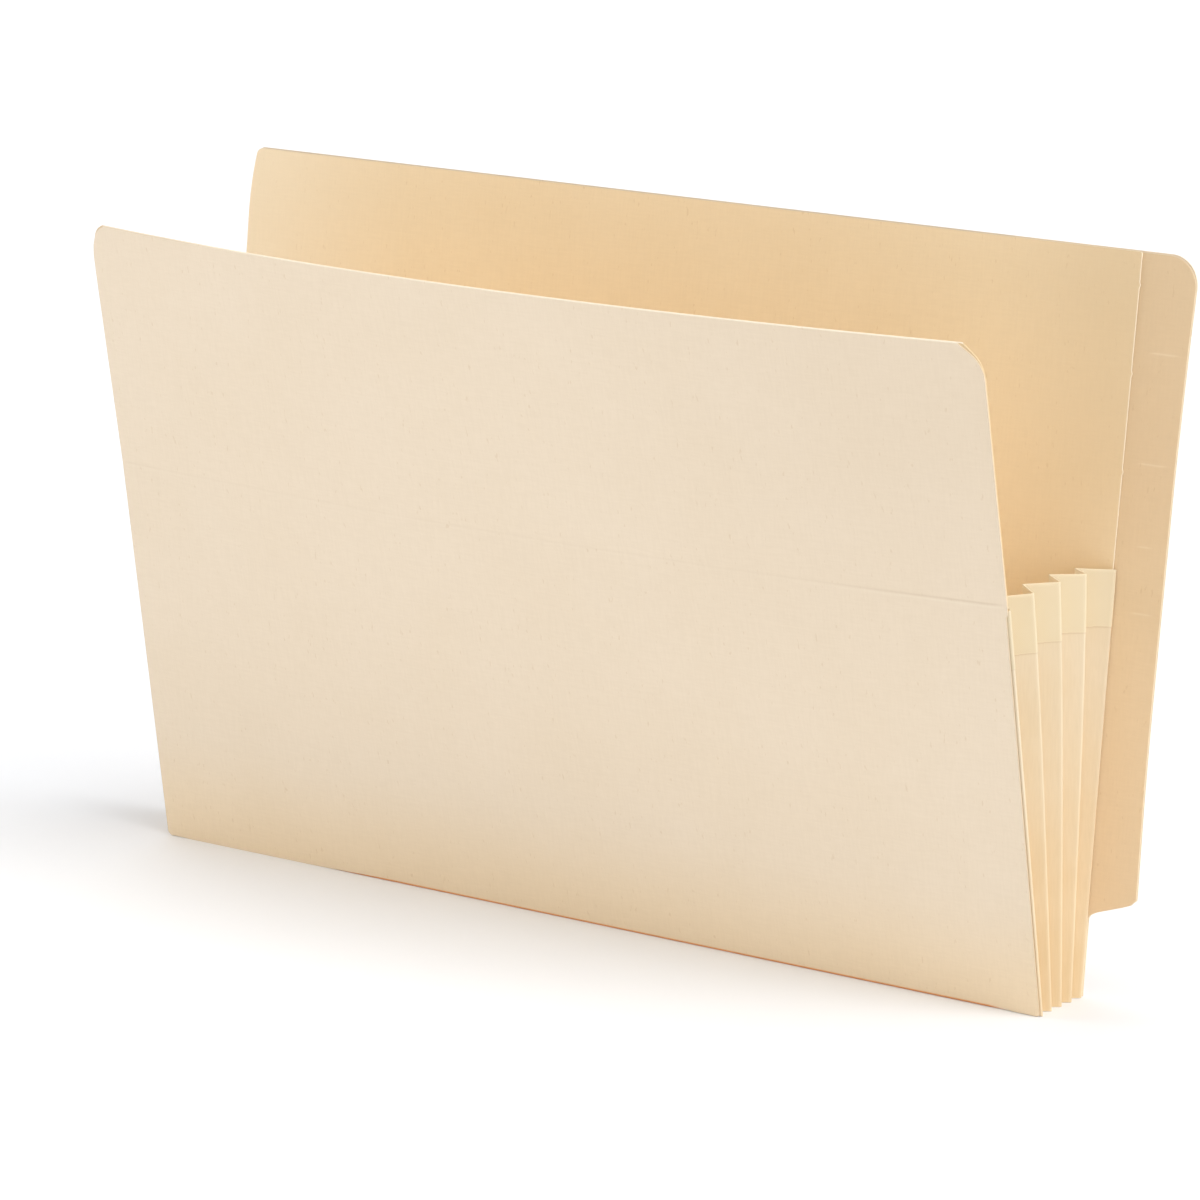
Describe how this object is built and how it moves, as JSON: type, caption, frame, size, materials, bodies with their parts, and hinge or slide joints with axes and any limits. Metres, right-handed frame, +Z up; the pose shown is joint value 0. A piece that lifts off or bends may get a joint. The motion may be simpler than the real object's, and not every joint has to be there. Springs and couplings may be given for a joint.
{
  "type": "expanding file pocket",
  "caption": "Manila expanding file pocket standing open, with pleated side gussets, a fold-down score in the front and an end tab along one side.",
  "frame": {"origin": "under the middle of the whole pocket, on the surface that it stands on", "axes": "+X along the panels towards the end tab, +Y from the front panel to the back panel, +Z up"},
  "size_m": [0.3884, 0.1128, 0.2404],
  "materials": {
    "manila_outside": "matte",
    "manila_inside": "matte",
    "gusset_paper": "matte",
    "reinforcing_tape": "matte"
  },
  "bodies": {
    "back": {"back_inner_ply": "manila_inside", "back_tab_sheet": "manila_outside", "tab_stiffening_ply": "manila_outside", "right_rear_glue_flap": "gusset_paper", "left_rear_glue_flap": "gusset_paper"},
    "bottom_rear": {"bottom_rear_leaf": "manila_inside"},
    "bottom_front": {"bottom_front_leaf": "manila_inside"},
    "front_lower": {"front_lower_outer_ply": "manila_outside", "front_lower_inner_ply": "manila_inside", "right_front_glue_flap": "gusset_paper", "left_front_glue_flap": "gusset_paper"},
    "front_upper": {"front_upper_outer_ply": "manila_outside", "front_upper_inner_ply": "manila_inside"},
    "right_leaf_1": {"right_gusset_leaf_1": "gusset_paper", "right_gusset_tape_1": "reinforcing_tape"},
    "right_leaf_2": {"right_gusset_leaf_2": "gusset_paper", "right_gusset_tape_2": "reinforcing_tape"},
    "right_leaf_3": {"right_gusset_leaf_3": "gusset_paper", "right_gusset_tape_3": "reinforcing_tape"},
    "right_leaf_4": {"right_gusset_leaf_4": "gusset_paper", "right_gusset_tape_4": "reinforcing_tape"},
    "right_leaf_5": {"right_gusset_leaf_5": "gusset_paper", "right_gusset_tape_5": "reinforcing_tape"},
    "right_leaf_6": {"right_gusset_leaf_6": "gusset_paper", "right_gusset_tape_6": "reinforcing_tape"},
    "right_leaf_7": {"right_gusset_leaf_7": "gusset_paper", "right_gusset_tape_7": "reinforcing_tape"},
    "right_leaf_8": {"right_gusset_leaf_8": "gusset_paper", "right_gusset_tape_8": "reinforcing_tape"},
    "left_leaf_1": {"left_gusset_leaf_1": "gusset_paper", "left_gusset_tape_1": "reinforcing_tape"},
    "left_leaf_2": {"left_gusset_leaf_2": "gusset_paper", "left_gusset_tape_2": "reinforcing_tape"},
    "left_leaf_3": {"left_gusset_leaf_3": "gusset_paper", "left_gusset_tape_3": "reinforcing_tape"},
    "left_leaf_4": {"left_gusset_leaf_4": "gusset_paper", "left_gusset_tape_4": "reinforcing_tape"},
    "left_leaf_5": {"left_gusset_leaf_5": "gusset_paper", "left_gusset_tape_5": "reinforcing_tape"},
    "left_leaf_6": {"left_gusset_leaf_6": "gusset_paper", "left_gusset_tape_6": "reinforcing_tape"},
    "left_leaf_7": {"left_gusset_leaf_7": "gusset_paper", "left_gusset_tape_7": "reinforcing_tape"},
    "left_leaf_8": {"left_gusset_leaf_8": "gusset_paper", "left_gusset_tape_8": "reinforcing_tape"}
  },
  "joints": [
    {"name": "pocket_close", "type": "hinge", "parent": "back", "child": "bottom_rear", "pos_m": [-0.00999, 0.02484, 0.00119], "axis": [-1, 0, 0], "range_deg": [0, 17.94]},
    {"name": "bottom_crease", "type": "hinge", "parent": "bottom_rear", "child": "bottom_front", "pos_m": [-0.00999, 0.01217, 0.04333], "axis": [-1, 0, 0], "range_deg": [-24.1, 0]},
    {"name": "front_bottom_fold", "type": "hinge", "parent": "bottom_front", "child": "front_lower", "pos_m": [-0.00999, 0.00068, 0.00085], "axis": [-1, 0, 0], "range_deg": [0, 18.1]},
    {"name": "front_score_fold", "type": "hinge", "parent": "front_lower", "child": "front_upper", "pos_m": [-0.00999, -0.03407, 0.13964], "axis": [1, 0, 0], "range_deg": [0, 165]},
    {"name": "right_fold_1", "type": "hinge", "parent": "front_lower", "child": "right_leaf_1", "pos_m": [0.17376, 0.00088, 0.00088], "axis": [0, -0.1495, 0.9888], "range_deg": [0, 28.5]},
    {"name": "right_fold_2", "type": "hinge", "parent": "right_leaf_1", "child": "right_leaf_2", "pos_m": [0.16964, 0.00384, 0.00118], "axis": [-0.0471, -0.1157, 0.9922], "range_deg": [-56.8, 0]},
    {"name": "right_fold_3", "type": "hinge", "parent": "right_leaf_2", "child": "right_leaf_3", "pos_m": [0.17376, 0.0068, 0.00157], "axis": [0, -0.0819, 0.9966], "range_deg": [0, 56.8]},
    {"name": "right_fold_4", "type": "hinge", "parent": "right_leaf_5", "child": "right_leaf_4", "pos_m": [0.17376, 0.01275, 0.00186], "axis": [0, -0.014, 0.9999], "range_deg": [-56.8, 0]},
    {"name": "right_fold_5", "type": "hinge", "parent": "right_leaf_6", "child": "right_leaf_5", "pos_m": [0.16964, 0.01572, 0.00175], "axis": [-0.0471, 0.02, 0.9987], "range_deg": [0, 56.8]},
    {"name": "right_fold_6", "type": "hinge", "parent": "right_leaf_7", "child": "right_leaf_6", "pos_m": [0.17376, 0.0187, 0.00174], "axis": [0, 0.0541, 0.9985], "range_deg": [-56.8, 0]},
    {"name": "right_fold_7", "type": "hinge", "parent": "right_leaf_8", "child": "right_leaf_7", "pos_m": [0.16964, 0.02167, 0.00143], "axis": [-0.0471, 0.0879, 0.995], "range_deg": [0, 56.8]},
    {"name": "right_fold_8", "type": "hinge", "parent": "back", "child": "right_leaf_8", "pos_m": [0.17376, 0.02464, 0.00121], "axis": [0, 0.1219, 0.9925], "range_deg": [-28.5, 0]},
    {"name": "left_fold_1", "type": "hinge", "parent": "front_lower", "child": "left_leaf_1", "pos_m": [-0.19374, 0.00088, 0.00088], "axis": [0, -0.1495, 0.9888], "range_deg": [-28.5, 0]},
    {"name": "left_fold_2", "type": "hinge", "parent": "left_leaf_1", "child": "left_leaf_2", "pos_m": [-0.18962, 0.00384, 0.00118], "axis": [0.0471, -0.1157, 0.9922], "range_deg": [0, 56.8]},
    {"name": "left_fold_3", "type": "hinge", "parent": "left_leaf_2", "child": "left_leaf_3", "pos_m": [-0.19374, 0.0068, 0.00157], "axis": [0, -0.0819, 0.9966], "range_deg": [-56.8, 0]},
    {"name": "left_fold_4", "type": "hinge", "parent": "left_leaf_5", "child": "left_leaf_4", "pos_m": [-0.19374, 0.01275, 0.00186], "axis": [0, -0.014, 0.9999], "range_deg": [0, 56.8]},
    {"name": "left_fold_5", "type": "hinge", "parent": "left_leaf_6", "child": "left_leaf_5", "pos_m": [-0.18962, 0.01572, 0.00175], "axis": [0.0471, 0.02, 0.9987], "range_deg": [-56.8, 0]},
    {"name": "left_fold_6", "type": "hinge", "parent": "left_leaf_7", "child": "left_leaf_6", "pos_m": [-0.19374, 0.0187, 0.00174], "axis": [0, 0.0541, 0.9985], "range_deg": [0, 56.8]},
    {"name": "left_fold_7", "type": "hinge", "parent": "left_leaf_8", "child": "left_leaf_7", "pos_m": [-0.18962, 0.02167, 0.00143], "axis": [0.0471, 0.0879, 0.995], "range_deg": [-56.8, 0]},
    {"name": "left_fold_8", "type": "hinge", "parent": "back", "child": "left_leaf_8", "pos_m": [-0.19374, 0.02464, 0.00121], "axis": [0, 0.1219, 0.9925], "range_deg": [0, 28.5]}
  ],
  "couplings": [
    {"joint": "bottom_crease", "follows": "pocket_close", "ratio": -1.3367},
    {"joint": "front_bottom_fold", "follows": "pocket_close", "ratio": 1},
    {"joint": "right_fold_1", "follows": "pocket_close", "ratio": 1.5775},
    {"joint": "right_fold_2", "follows": "pocket_close", "ratio": -3.1587},
    {"joint": "right_fold_3", "follows": "pocket_close", "ratio": 3.155},
    {"joint": "right_fold_4", "follows": "pocket_close", "ratio": -3.155},
    {"joint": "right_fold_5", "follows": "pocket_close", "ratio": 3.1587},
    {"joint": "right_fold_6", "follows": "pocket_close", "ratio": -3.155},
    {"joint": "right_fold_7", "follows": "pocket_close", "ratio": 3.1587},
    {"joint": "right_fold_8", "follows": "pocket_close", "ratio": -1.5775},
    {"joint": "left_fold_1", "follows": "pocket_close", "ratio": -1.5775},
    {"joint": "left_fold_2", "follows": "pocket_close", "ratio": 3.1587},
    {"joint": "left_fold_3", "follows": "pocket_close", "ratio": -3.155},
    {"joint": "left_fold_4", "follows": "pocket_close", "ratio": 3.155},
    {"joint": "left_fold_5", "follows": "pocket_close", "ratio": -3.1587},
    {"joint": "left_fold_6", "follows": "pocket_close", "ratio": 3.155},
    {"joint": "left_fold_7", "follows": "pocket_close", "ratio": -3.1587},
    {"joint": "left_fold_8", "follows": "pocket_close", "ratio": 1.5775}
  ]
}
